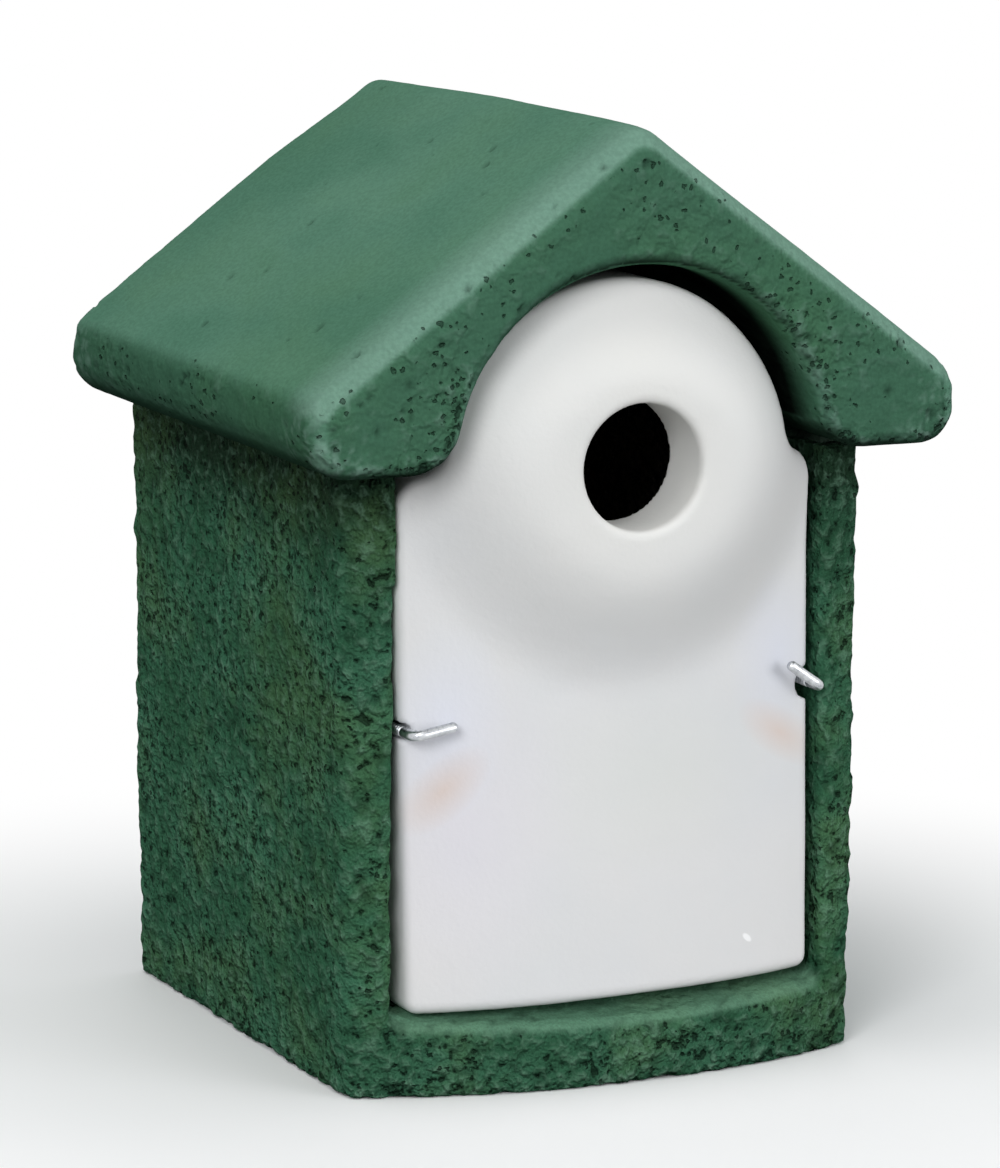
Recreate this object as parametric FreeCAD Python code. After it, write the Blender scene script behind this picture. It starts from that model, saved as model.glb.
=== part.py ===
import FreeCAD, Part
import math
import os

os.makedirs("parts", exist_ok=True)
V = FreeCAD.Vector

# How far a cut runs past the face that it leaves, millimetres
overcut = 1.0

# Body casting. The front bows forward between the two front corners, and each side
# leans in by the draft towards the foot.
body_width = 144.8
body_depth = 149.0
body_height = 159.0
body_draft = 1.3
side_wall = 20.5
back_wall = 22.0
floor_thick = 20.0
front_bow = 14.5
corner_round = 5.0
foot_round = 1.5
chamber_round = 8.0
drain_radius = 3.5
drain_spacing = 56.0

# Roof casting and the bed of mortar under it
side_overhang = 16.6
front_overhang = 23.5
roof_peak = 85.25
eave_thick = 18.43
ridge_round = 9.0
fascia_round = 10.5
rake_round = 7.5
back_round = 3.5
arch_jamb = 21.4
arch_drop = 2.0
arch_flare = 13.0
arch_edge_round = 3.5
vault_radius = 40.0
bed_thick = 2.0
bed_inset = 4.0

# Front plate
plate_jamb = 15.2
plate_taper = 0.42
plate_bottom = 21.0
plate_edge_thick = 15.0
plate_recess = 2.5
plate_corner = 3.4
plate_edge_round = 2.6
plate_skew = 0.95
plate_shift = 0.6
shoulder_drop = 10.0
shoulder_round = 9.0
dome_gap = 5.0
hole_radius = 16.0
hole_x = 2.0
hole_drop = 0.5
hole_depth = 20.0
hole_edge_round = 2.0
rim_forward = 22.5
bulge_flat = 24.0
bulge_reach = 60.0
bulge_squash = 1.25
dish_radius = 37.0
dish_floor = 25.0
face_step = 6.5
face_margin = 14.0

# Opening in the body that takes the plate
opening_gap_top = 1.9
opening_gap_bottom = 3.9
opening_corner = 3.2
sill_start = 5.0
sill_fall = 12.5

# Screw hooks and their plugs
hook_wire = 2.7
hook_inset = 0.6
left_hook_z = 93.7
right_hook_z = 97.8
hook_forward = 10.4
hook_bend = 2.6
hook_arm = 11.8
hook_depth = 22.0
thread_pitch = 1.25
thread_root = 0.28
thread_ahead = 4.0
left_notch_clear = 1.0
right_notch_clear = 3.2
left_arm_rise = 9.0
right_arm_rise = 35.0
plug_radius = 3.2
plug_spare = 3.0
plug_clear = 0.05

# Hanger let into the back
hanger_drop = 31.0
hanger_width = 66.0
hanger_height = 27.0
hanger_thick = 2.0
hanger_corner = 4.0
hanger_clear = 0.3
key_entry = 5.0
key_slot = 2.6
key_travel = 9.0
key_pocket_clear = 4.0
key_pocket_depth = 11.0
screw_spacing = 48.0
screw_radius = 1.75
screw_head = 3.5
screw_length = 16.0
screw_cross = 1.0
screw_plug_radius = 2.8
screw_plug_spare = 1.5

half_width = body_width / 2
plate_half_width = half_width - plate_jamb
hook_x = plate_half_width - hook_inset
arch_radius = half_width - arch_jamb
back_y = (body_depth + front_overhang) / 2
corner_y = back_y - body_depth
roof_front_y = corner_y - front_overhang
bow_radius = (half_width ** 2 + front_bow ** 2) / (2 * front_bow)
chamber_half = half_width - side_wall
chamber_back_y = back_y - back_wall
eave_z = body_height + bed_thick
arch_z = eave_z - arch_drop
hole_z = arch_z - hole_drop
shoulder_z = body_height - shoulder_drop
hanger_z = body_height - hanger_drop
dome_radius = arch_radius - dome_gap
rim_y = corner_y - rim_forward
ahead_y = min(roof_front_y, rim_y, corner_y - front_bow) - overcut
plate_lean = math.radians(plate_taper)
plate_foot = plate_half_width - (shoulder_z - plate_bottom) * math.tan(plate_lean)


def bow_y(x):
    return corner_y - front_bow + bow_radius - math.sqrt(bow_radius ** 2 - x ** 2)


def knee_x():
    """Centre of the plate's rounded foot corner, which touches its leaning side and the sill."""
    narrow = shoulder_round - plate_corner
    fall = (shoulder_z - plate_bottom - plate_corner - narrow * math.sin(plate_lean)) / math.cos(plate_lean)
    return plate_half_width - shoulder_round + narrow * math.cos(plate_lean) - fall * math.sin(plate_lean)


plate_knee = knee_x()
seat_y = bow_y(plate_half_width) + plate_recess + plate_edge_thick
elbow_y = corner_y - hook_forward
plug_depth = hook_depth + plug_spare
hook_spots = {"left": (-hook_x, left_hook_z), "right": (hook_x, right_hook_z)}
notch_clear = {"left": left_notch_clear, "right": right_notch_clear}


def box(x0, x1, y0, y1, z0, z1):
    return Part.makeBox(x1 - x0, y1 - y0, z1 - z0, V(x0, y0, z0))


def rod(radius, x, z, y0, y1):
    return Part.makeCylinder(radius, y1 - y0, V(x, y0, z), V(0, 1, 0))


def cone(r0, r1, x, z, y0, y1):
    return Part.makeCone(r0, r1, y1 - y0, V(x, y0, z), V(0, 1, 0))


def arc(a, b, c):
    return Part.Arc(a, b, c).toShape()


def front_wire(corners, y):
    """Closed outline in the plane at y, from (x, z, corner radius) points."""
    edges = []
    last = None
    first = None
    count = len(corners)
    for i, (x, z, radius) in enumerate(corners):
        at = V(x, y, z)
        before = (V(corners[i - 1][0], y, corners[i - 1][1]) - at).normalize()
        after = corners[(i + 1) % count]
        after = (V(after[0], y, after[1]) - at).normalize()
        start = end = at
        if radius:
            half = before.getAngle(after) / 2
            bisector = (before + after).normalize()
            start = at + before * (radius / math.tan(half))
            end = at + after * (radius / math.tan(half))
            middle = at + bisector * (radius / math.sin(half) - radius)
        if last is not None:
            edges.append(Part.LineSegment(last, start).toShape())
        else:
            first = start
        if radius:
            edges.append(arc(start, middle, end))
        last = end
    edges.append(Part.LineSegment(last, first).toShape())
    return Part.Wire(edges)


def front_prism(wire, length):
    return Part.Face(wire).extrude(V(0, length, 0))


def edges_where(shape, test):
    return [edge for edge in shape.Edges if test(edge)]


def on_plane(axis, value):
    def test(edge):
        box_of = edge.BoundBox
        low = getattr(box_of, axis + "Min")
        high = getattr(box_of, axis + "Max")
        return abs(low - value) < 0.01 and abs(high - value) < 0.01
    return test


def upright(edge):
    size = edge.BoundBox
    lean = body_draft + 0.01
    return size.ZLength > 1 and size.XLength < lean and size.YLength < lean


def bowed_block(inset, z0, z1):
    """The body's outline between two heights, drawn in by inset."""
    wide = half_width - inset
    front = corner_y + inset
    back = back_y - inset
    low, high = [wide - body_draft * (1 - z / body_height) for z in (z0, z1)]
    corners = [(-low, z0, 0), (low, z0, 0), (high, z1, 0), (-high, z1, 0)]
    block = front_prism(front_wire(corners, ahead_y), back - ahead_y)
    plan = [V(wide, front, z0), V(wide, back, z0), V(-wide, back, z0), V(-wide, front, z0)]
    edges = [Part.LineSegment(a, b).toShape() for a, b in zip(plan, plan[1:])]
    edges.append(arc(plan[3], V(0, front - front_bow, z0), plan[0]))
    block = block.common(Part.Face(Part.Wire(edges)).extrude(V(0, 0, z1 - z0))).Solids[0]
    return block.makeFillet(corner_round, edges_where(block, upright))


def chamber(spare, z0, z1):
    """The nest chamber, wider by spare all round."""
    half = chamber_half + spare
    room = box(-half, half, seat_y - spare, chamber_back_y + spare, z0, z1)
    at_back = [edge for edge in edges_where(room, upright) if edge.BoundBox.YMin > 0]
    return room.makeFillet(chamber_round, at_back)


def plate_opening(spare):
    """The rebate in front of the chamber, wider by spare on each side."""
    top = plate_half_width + opening_gap_top + spare
    bottom = plate_foot + opening_gap_bottom + spare
    high = body_height + 2 * bed_thick
    corners = [(-bottom, plate_bottom, opening_corner), (bottom, plate_bottom, opening_corner),
               (top, high, 0), (-top, high, 0)]
    return front_prism(front_wire(corners, ahead_y), seat_y + spare - ahead_y)


def sill_slope():
    """What falls away in front of the plate's foot so that rain runs off the sill."""
    start = seat_y - sill_start
    drop = (start - ahead_y) * math.tan(math.radians(sill_fall))
    half = plate_foot + opening_gap_bottom
    points = [V(-half, start, plate_bottom), V(-half, ahead_y, plate_bottom - drop),
              V(-half, ahead_y, plate_bottom + opening_corner),
              V(-half, start, plate_bottom + opening_corner)]
    return Part.Face(Part.makePolygon(points + points[:1])).extrude(V(2 * half, 0, 0))


def hanger_outline(clear):
    half = hanger_width / 2 + clear
    low = hanger_z - hanger_height / 2 - clear
    high = hanger_z + hanger_height / 2 + clear
    round_off = hanger_corner + clear
    corners = [(-half, low, round_off), (half, low, round_off),
               (half, high, round_off), (-half, high, round_off)]
    return front_prism(front_wire(corners, back_y - hanger_thick), hanger_thick)


def keyhole(clear, y0, y1):
    """Round entry with a slot above it, centred on the hanger plate."""
    entry_z = hanger_z - key_travel / 2
    slot_z = hanger_z + key_travel / 2
    hole = rod(key_entry + clear, 0, entry_z, y0, y1)
    hole = hole.fuse(rod(key_slot + clear, 0, slot_z, y0, y1))
    return hole.fuse(box(-key_slot - clear, key_slot + clear, y0, y1, entry_z, slot_z))


def build_body():
    body = bowed_block(0, 0, body_height)
    body = body.makeFillet(foot_round, edges_where(body, on_plane("Z", 0)))
    cuts = [chamber(0, floor_thick, body_height + overcut), plate_opening(0), sill_slope()]
    cuts.append(hanger_outline(hanger_clear))
    pocket_y = back_y - hanger_thick - key_pocket_depth
    cuts.append(keyhole(key_pocket_clear, pocket_y, back_y))
    for x in (-screw_spacing / 2, screw_spacing / 2):
        plug_end = back_y - hanger_thick - screw_length - screw_plug_spare
        cuts.append(rod(screw_plug_radius, x, hanger_z, plug_end, back_y))
    for x, z in hook_spots.values():
        cuts.append(rod(plug_radius, x, z, seat_y, seat_y + plug_depth))
    middle_y = (seat_y + chamber_back_y) / 2
    for x in (-drain_spacing / 2, drain_spacing / 2):
        for y in (middle_y - drain_spacing / 2, middle_y + drain_spacing / 2):
            cuts.append(Part.makeCylinder(drain_radius, floor_thick + 2 * overcut, V(x, y, -overcut)))
    for cut in cuts:
        body = body.cut(cut)
    return body


def arch_cut():
    """Arch through the front gable, its lower corners flared out to the underside."""
    lean = math.sqrt((arch_radius + arch_flare) ** 2 - (arch_drop + arch_flare) ** 2)
    scale = arch_radius / (arch_radius + arch_flare)
    y = ahead_y
    edges = []
    ends = {}
    for side in (-1, 1):
        centre = V(side * lean, y, eave_z + arch_flare)
        low = V(side * lean, y, eave_z)
        top = V(side * lean * scale, y, arch_z + (arch_drop + arch_flare) * scale)
        out = (low + top) * 0.5 - centre
        edges.append(arc(low, centre + out.normalize() * arch_flare, top))
        ends[side] = (low, top)
    edges.append(arc(ends[-1][1], V(0, y, arch_z + arch_radius), ends[1][1]))
    sink = V(0, 0, -overcut)
    edges.append(Part.LineSegment(ends[-1][0], ends[-1][0] + sink).toShape())
    edges.append(Part.LineSegment(ends[-1][0] + sink, ends[1][0] + sink).toShape())
    edges.append(Part.LineSegment(ends[1][0] + sink, ends[1][0]).toShape())
    return front_prism(Part.Wire(Part.__sortEdges__(edges)), seat_y - y)


def round_front(roof):
    """Rounds the roof's front outline: full along the rakes, less along the arch and the underside."""
    radii = []
    for number, edge in enumerate(roof.Edges, 1):
        if not on_plane("Y", roof_front_y)(edge):
            continue
        size = edge.BoundBox
        ends = [rake_round, rake_round]
        if size.XMax < arch_radius + arch_flare and size.XMin > -arch_radius - arch_flare:
            ends = [rake_round, rake_round] if size.ZMin > arch_z + arch_radius else [arch_edge_round] * 2
        elif size.ZLength < 0.01:
            ends = [arch_edge_round] * 2
        elif size.ZMax < eave_z + fascia_round + 0.01:
            low = min(vertex.Point.z for vertex in edge.Vertexes)
            ends = [arch_edge_round if vertex.Point.z == low else rake_round for vertex in edge.Vertexes]
        radii.append((number, ends[0], ends[1]))
    document = FreeCAD.newDocument("rounding")
    base = document.addObject("Part::Feature", "base")
    base.Shape = roof
    rounding = document.addObject("Part::Fillet", "rounding")
    rounding.Base = base
    rounding.Edges = radii
    document.recompute()
    return rounding.Shape.copy()


def build_roof():
    half = half_width + side_overhang
    peak = eave_z + roof_peak
    shoulder = eave_z + eave_thick
    corners = [(-half, eave_z, fascia_round), (half, eave_z, fascia_round), (half, shoulder, fascia_round),
               (0, peak, ridge_round), (-half, shoulder, fascia_round)]
    roof = front_prism(front_wire(corners, roof_front_y), back_y - roof_front_y)
    roof = round_front(roof.cut(arch_cut()))
    roof = roof.makeFillet(back_round, edges_where(roof, on_plane("Y", back_y)))
    return roof.cut(rod(vault_radius, 0, arch_z, seat_y - overcut, chamber_back_y))


def build_bed():
    bed = bowed_block(bed_inset, body_height, eave_z)
    bed = bed.cut(chamber(bed_inset / 2, body_height - overcut, eave_z + overcut))
    return bed.cut(plate_opening(bed_inset / 2))


def spread(low, high, step):
    count = math.ceil((high - low) / step)
    return [low + (high - low) * i / count for i in range(count + 1)]


def plate_front():
    """Everything behind the plate's face: bowed like the body, bulging out to a flat rim at the hole."""
    half = plate_half_width + face_margin
    rows = []
    for x in spread(-half, half, face_step):
        row = []
        for z in spread(plate_bottom - face_margin, arch_z + dome_radius + face_margin, face_step):
            rise = z - hole_z
            reach = math.hypot(x - hole_x, rise * (bulge_squash if rise > 0 else 1))
            part = min(max((reach - bulge_flat) / (bulge_reach - bulge_flat), 0), 1)
            weight = (1 + math.cos(math.pi * part)) / 2
            row.append(V(x, (1 - weight) * (bow_y(x) + plate_recess) + weight * rim_y, z))
        rows.append(row)
    surface = Part.BSplineSurface()
    surface.interpolate(rows)
    return surface.toShape().extrude(V(0, seat_y - rim_y + face_margin, 0))


def plate_outline():
    """Upright plate with a domed top, joined to its shoulders by a smooth double curve."""
    y = ahead_y
    half = plate_half_width
    inner = V(half - shoulder_round, y, shoulder_z)
    dome = V(0, y, arch_z)
    far = dome_radius + shoulder_round
    span = (dome - inner).Length
    along = (span ** 2 + (2 * shoulder_round) ** 2 - far ** 2) / (2 * span)
    aside = math.sqrt((2 * shoulder_round) ** 2 - along ** 2)
    toward = (dome - inner).normalize()
    outer = inner + toward * along + V(-toward.z, 0, toward.x) * -aside
    outward = V(math.cos(plate_lean), 0, -math.sin(plate_lean))
    side_top = inner + outward * shoulder_round
    bend = (inner + outer) * 0.5
    join = dome + (outer - dome) * (dome_radius / far)

    def between(centre, a, b, radius):
        return centre + ((a + b) * 0.5 - centre).normalize() * radius

    def flip(point):
        return V(-point.x, point.y, point.z)

    upper = [(side_top, between(inner, side_top, bend, shoulder_round), bend),
             (bend, between(outer, bend, join, shoulder_round), join)]
    edges = [arc(*points) for points in upper]
    edges += [arc(*[flip(point) for point in points]) for points in upper]
    edges.append(arc(join, dome + V(0, 0, dome_radius), flip(join)))
    knee = V(plate_knee, y, plate_bottom + plate_corner)
    low = knee + outward * plate_corner
    foot = knee - V(0, 0, plate_corner)
    corner = (low, between(knee, low, foot, plate_corner), foot)
    edges += [arc(*corner), arc(*[flip(point) for point in corner])]
    edges.append(Part.LineSegment(side_top, low).toShape())
    edges.append(Part.LineSegment(flip(side_top), flip(low)).toShape())
    edges.append(Part.LineSegment(foot, flip(foot)).toShape())
    return front_prism(Part.Wire(Part.__sortEdges__(edges)), seat_y - y)


def build_plate():
    plate = plate_outline().common(plate_front())
    plate = plate.Solids[0]

    def front_rim(edge):
        size = edge.BoundBox
        return size.YMax < seat_y - 1 and (size.XLength > 0.5 or size.ZLength > 0.5)

    plate = plate.makeFillet(plate_edge_round, edges_where(plate, front_rim))
    plate = plate.cut(cone(dish_floor, dish_radius, hole_x, hole_z, rim_y + hole_depth, seat_y))
    plate = plate.cut(rod(hole_radius, hole_x, hole_z, ahead_y, seat_y))
    plate = plate.makeFillet(hole_edge_round, edges_where(plate, lambda edge: edge.BoundBox.YMax < rim_y + 1))
    pivot = V(-plate_knee, 0, plate_bottom + plate_corner)
    plate.rotate(pivot, V(0, -1, 0), plate_skew)
    plate.translate(V(plate_shift, 0, 0))
    for side, (x, z) in hook_spots.items():
        plate = plate.cut(rod(hook_wire / 2 + notch_clear[side], x, z, ahead_y, seat_y + overcut))
    return plate.Solids[0]


def build_hook(side):
    """L-shaped screw hook: ringed shank into the plug, bend, then the arm over the plate."""
    x, z = hook_spots[side]
    inward = 1 if side == "left" else -1
    rise = left_arm_rise if side == "left" else right_arm_rise
    radius = hook_wire / 2
    shank_end = seat_y + hook_depth
    plain_end = corner_y - thread_ahead
    start = V(x, plain_end, z)
    turn = V(x, elbow_y + hook_bend, z)
    centre = V(x + inward * hook_bend, elbow_y + hook_bend, z)
    middle = centre + V(-inward, -1, 0).normalize() * hook_bend
    arm_start = V(x + inward * hook_bend, elbow_y, z)
    arm_end = V(x + inward * (hook_arm - radius), elbow_y, z)
    spine = Part.Wire([Part.LineSegment(start, turn).toShape(), arc(turn, middle, arm_start),
                       Part.LineSegment(arm_start, arm_end).toShape()])
    profile = Part.Wire([Part.makeCircle(radius, start, V(0, -1, 0))])
    hook = spine.makePipeShell([profile], True, False)
    hook = hook.fuse(Part.makeSphere(radius, arm_end))
    turns = int((shank_end - plain_end) / thread_pitch) - 1
    points = [V(0, plain_end, 0), V(radius, plain_end, 0)]
    for i in range(turns):
        y = plain_end + i * thread_pitch
        points.append(V(radius, y + thread_pitch * 0.3, 0))
        points.append(V(radius - thread_root, y + thread_pitch * 0.5, 0))
        points.append(V(radius - thread_root, y + thread_pitch * 0.8, 0))
        points.append(V(radius, y + thread_pitch, 0))
    points += [V(0, shank_end, 0), points[0]]
    shank = Part.Face(Part.makePolygon(points)).revolve(V(0, 0, 0), V(0, 1, 0), 360)
    shank.translate(V(x, 0, z))
    hook = hook.fuse(shank).removeSplitter()
    hook.rotate(V(x, 0, z), V(0, -inward, 0), rise)
    return hook.Solids[0]


def build_hook_plug(side):
    x, z = hook_spots[side]
    plug = rod(plug_radius, x, z, seat_y, seat_y + plug_depth)
    return plug.cut(rod(hook_wire / 2 + plug_clear, x, z, seat_y - overcut, seat_y + hook_depth + plug_clear))


def screw_body(x):
    """Countersunk screw without its cross recess."""
    head_start = back_y - (screw_head - screw_radius)
    head = cone(screw_radius, screw_head, x, hanger_z, head_start, back_y)
    return head.fuse(rod(screw_radius, x, hanger_z, back_y - hanger_thick - screw_length, head_start))


def build_hanger():
    plate = hanger_outline(0)
    plate = plate.cut(keyhole(0, back_y - hanger_thick - overcut, back_y + overcut))
    for x in (-screw_spacing / 2, screw_spacing / 2):
        plate = plate.cut(screw_body(x))
    return plate


def build_screws():
    screws = []
    for x in (-screw_spacing / 2, screw_spacing / 2):
        screw = screw_body(x)
        reach = screw_head * 0.6
        slot = screw_cross / 2
        deep = back_y - screw_cross
        past = back_y + overcut
        cross = box(x - reach, x + reach, deep, past, hanger_z - slot, hanger_z + slot)
        cross = cross.fuse(box(x - slot, x + slot, deep, past, hanger_z - reach, hanger_z + reach))
        screws.append(screw.cut(cross))
    return Part.makeCompound(screws)


def build_screw_plugs():
    plugs = []
    front = back_y - hanger_thick
    for x in (-screw_spacing / 2, screw_spacing / 2):
        plug = rod(screw_plug_radius, x, hanger_z, front - screw_length - screw_plug_spare, front)
        plugs.append(plug.cut(rod(screw_radius, x, hanger_z, front - screw_length, front + overcut)))
    return Part.makeCompound(plugs)


pieces = {
    "body_casting": build_body(),
    "roof_casting": build_roof(),
    "roof_mortar_bed": build_bed(),
    "front_plate": build_plate(),
    "left_hook": build_hook("left"),
    "right_hook": build_hook("right"),
    "left_hook_plug": build_hook_plug("left"),
    "right_hook_plug": build_hook_plug("right"),
    "hanger_plate": build_hanger(),
    "hanger_screws": build_screws(),
    "hanger_screw_plugs": build_screw_plugs(),
}
for name, shape in pieces.items():
    shape.exportStep("parts/" + name + ".step")
    size = shape.BoundBox
    print(name, len(shape.Solids), shape.isValid(), round(shape.Volume / 1000, 2), "cm3",
          [round(v, 2) for v in (size.XMin, size.XMax, size.YMin, size.YMax, size.ZMin, size.ZMax)])
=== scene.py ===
import math
import bmesh
import bpy
from mathutils import Matrix, Vector, noise


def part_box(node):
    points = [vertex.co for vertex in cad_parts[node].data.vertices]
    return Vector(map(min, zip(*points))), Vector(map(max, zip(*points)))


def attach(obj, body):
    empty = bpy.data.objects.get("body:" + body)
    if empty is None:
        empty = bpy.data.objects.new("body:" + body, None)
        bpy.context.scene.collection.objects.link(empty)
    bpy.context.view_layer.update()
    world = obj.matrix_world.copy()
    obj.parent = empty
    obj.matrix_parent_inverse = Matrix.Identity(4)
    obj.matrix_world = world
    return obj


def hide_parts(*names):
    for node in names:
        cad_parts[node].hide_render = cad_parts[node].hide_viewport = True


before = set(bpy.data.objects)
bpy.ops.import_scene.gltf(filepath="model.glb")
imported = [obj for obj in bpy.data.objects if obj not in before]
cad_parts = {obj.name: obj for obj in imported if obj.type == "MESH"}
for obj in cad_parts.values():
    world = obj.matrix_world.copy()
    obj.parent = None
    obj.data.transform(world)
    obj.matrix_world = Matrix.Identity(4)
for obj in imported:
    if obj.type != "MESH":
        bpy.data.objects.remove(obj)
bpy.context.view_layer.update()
mm = 0.001
print("frame loaded with", len(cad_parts), "nodes")


def fadeUp(value, start, end):
    return max(0.0, min(1.0, (value - start) / (end - start)))  # 0 at the start, 1 at the end


def hexLinear(code):
    shares = [int(code[i:i + 2], 16) / 255 for i in (1, 3, 5)]
    return [s / 12.92 if s <= 0.04045 else ((s + 0.055) / 1.055) ** 2.4 for s in shares] + [1.0]


def perMm(size):
    return 1 / (size * mm)  # texture scale for a pattern of that size on Object coordinates


def add(tree, kind, settings=None, links=None):
    node = tree.nodes.new("ShaderNode" + kind)
    for name, value in (settings or {}).items():
        if name == "stops":  # a colour ramp's places, then its hex colours
            for stop, place, colour in zip(node.color_ramp.elements, *value):
                stop.position = place
                stop.color = hexLinear(colour)
        elif name == "span":  # the stretch that a map range reads
            node.inputs["From Min"].default_value, node.inputs["From Max"].default_value = value
        elif name == "gives":  # and what it makes of that stretch
            node.inputs["To Min"].default_value, node.inputs["To Max"].default_value = value
        elif isinstance(name, int) or name in node.inputs:
            node.inputs[name].default_value = value
        else:
            setattr(node, name, value)
    for name, source in (links or {}).items():
        tree.links.new(source, node.inputs[name])
    return node


def newMaterial(name):
    material = bpy.data.materials.new(name)
    material.use_nodes = True
    material.node_tree.nodes.clear()
    return material, material.node_tree


skinMarks = ("edge", "hollow", "bareInsideAndShade", "open", "paintedShade", "highlightAndScuff")  # what a skin's points tell its coat
paintIor = 1.48
noiseSpan = (0.3, 0.7)  # nearly all of a noise lies between these
coatSteps = {  # where a pattern starts to show in a green coat, and where it shows in full
    "patch": (0.4, 0.6), "greens": (0.35, 0.65), "moss": (0.48, 0.66), "grit": (0.35, 0.65),
    "chip": (0.53, 0.6), "inner": (0.4, 0.6), "poreRim": (0.0, 0.16), "poreCore": (0.04, 0.14),
}
poreBend = {"size": 0.6, "push": 0.8}  # how pores are pushed out of line, in pore spacings


# Clumps of fibre stand out where the skin is open, in patches, with crevices between them
def addClumps(tree, look, patch, fibre, opened):
    coarse = add(tree, "MapRange", {"span": coatSteps["patch"], "gives": (look["calmest"], look["coarsest"])},
                 {"Value": patch}).outputs["Result"]
    coarse = add(tree, "Math", {"operation": "MULTIPLY"}, {0: coarse, 1: opened}).outputs[0]
    clump = add(tree, "Math", {"operation": "SUBTRACT", 1: 0.5}, {0: fibre}).outputs[0]
    clump = add(tree, "Math", {"operation": "MULTIPLY"}, {0: clump, 1: coarse}).outputs[0]
    crevice = add(tree, "MapRange", {"span": (-look["creviceStart"], -look["creviceFull"]),
                                     "interpolation_type": "SMOOTHSTEP"}, {"Value": clump}).outputs["Result"]
    return coarse, clump, crevice


# Round pores, each cell drawing its own size, more of them where the skin is coarse
def addPores(tree, look, place, coarse):
    spacing = look["poreSpacing"]
    bend = add(tree, "TexNoise", {"Scale": perMm(spacing * poreBend["size"]), "Detail": 1.0},
               {"Vector": place}).outputs["Color"]
    bent = add(tree, "VectorMath", {"operation": "MULTIPLY_ADD", 1: [spacing * mm * poreBend["push"]] * 3},
               {0: bend, 2: place}).outputs["Vector"]
    cells = add(tree, "TexVoronoi", {"Scale": perMm(spacing)}, {"Vector": bent})
    chance = add(tree, "SeparateColor", None, {"Color": cells.outputs["Color"]}).outputs["Red"]
    share = add(tree, "Math", {"operation": "MULTIPLY_ADD", 1: look["poreSpan"], 2: look["poreStart"]},
                {0: coarse}).outputs[0]
    reach = add(tree, "Math", {"operation": "SUBTRACT"}, {0: share, 1: chance}).outputs[0]
    reach = add(tree, "Math", {"operation": "MULTIPLY", 1: look["poreReach"]}, {0: reach}).outputs[0]
    reach = add(tree, "Math", {"operation": "MINIMUM", 1: look["poreWidest"]}, {0: reach}).outputs[0]
    deep = add(tree, "Math", {"operation": "SUBTRACT"}, {0: reach, 1: cells.outputs["Distance"]}).outputs[0]
    return [add(tree, "MapRange", {"span": coatSteps[part], "interpolation_type": "SMOOTHSTEP"},
                {"Value": deep}).outputs["Result"] for part in ("poreRim", "poreCore")]


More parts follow.
